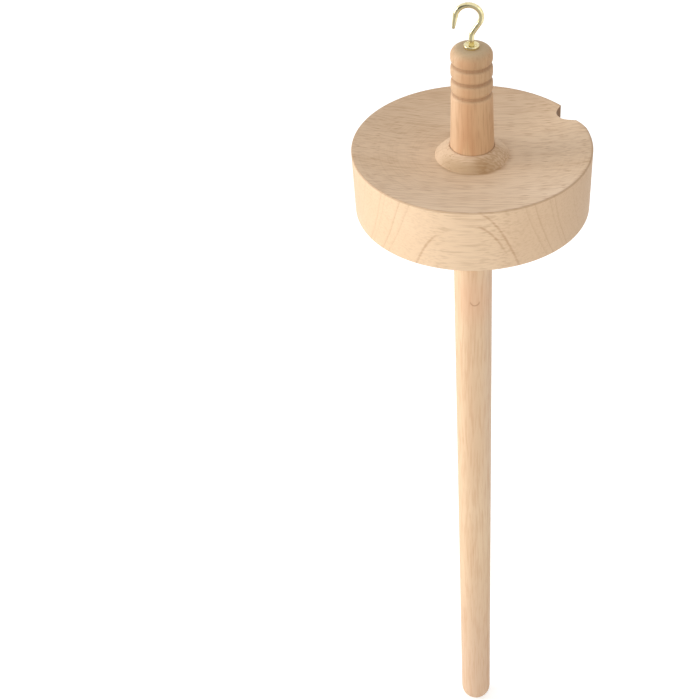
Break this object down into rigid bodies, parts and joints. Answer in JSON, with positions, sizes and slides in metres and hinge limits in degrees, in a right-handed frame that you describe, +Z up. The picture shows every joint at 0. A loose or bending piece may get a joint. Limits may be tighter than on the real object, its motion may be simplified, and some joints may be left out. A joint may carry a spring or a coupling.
{
  "type": "top whorl drop spindle",
  "caption": "Top whorl drop spindle for spinning yarn by hand: a dished wooden whorl with a rim notch on a tapered shaft, with a grooved head and a wire hook.",
  "frame": {"origin": "tip of the shaft, on the spin axis", "axes": "+Z up the spin axis from the tip to the hook; the hook lies in the X-Z plane and opens towards -X; the rim notch is 32 degrees from +X towards +Y"},
  "size_m": [0.0766, 0.0766, 0.306],
  "materials": {
    "beech": "sanded, unvarnished",
    "brass": "bright plated"
  },
  "bodies": {
    "spindle": {"shaft": "beech", "whorl": "beech"},
    "collar": {"hook_collar": "brass"},
    "hook": {"hook": "brass"}
  },
  "joints": [
    {"name": "hook_rise", "type": "slide", "parent": "spindle", "child": "collar", "axis": [0, 0, 1], "range_m": [0, 0.012]},
    {"name": "hook_turn", "type": "hinge", "parent": "collar", "child": "hook", "pos_m": [0, 0, 0.2908], "axis": [0, 0, 1], "continuous": true}
  ],
  "couplings": [
    {"joint": "hook_turn", "follows": "hook_rise", "rad_per_m": 6283.2}
  ]
}
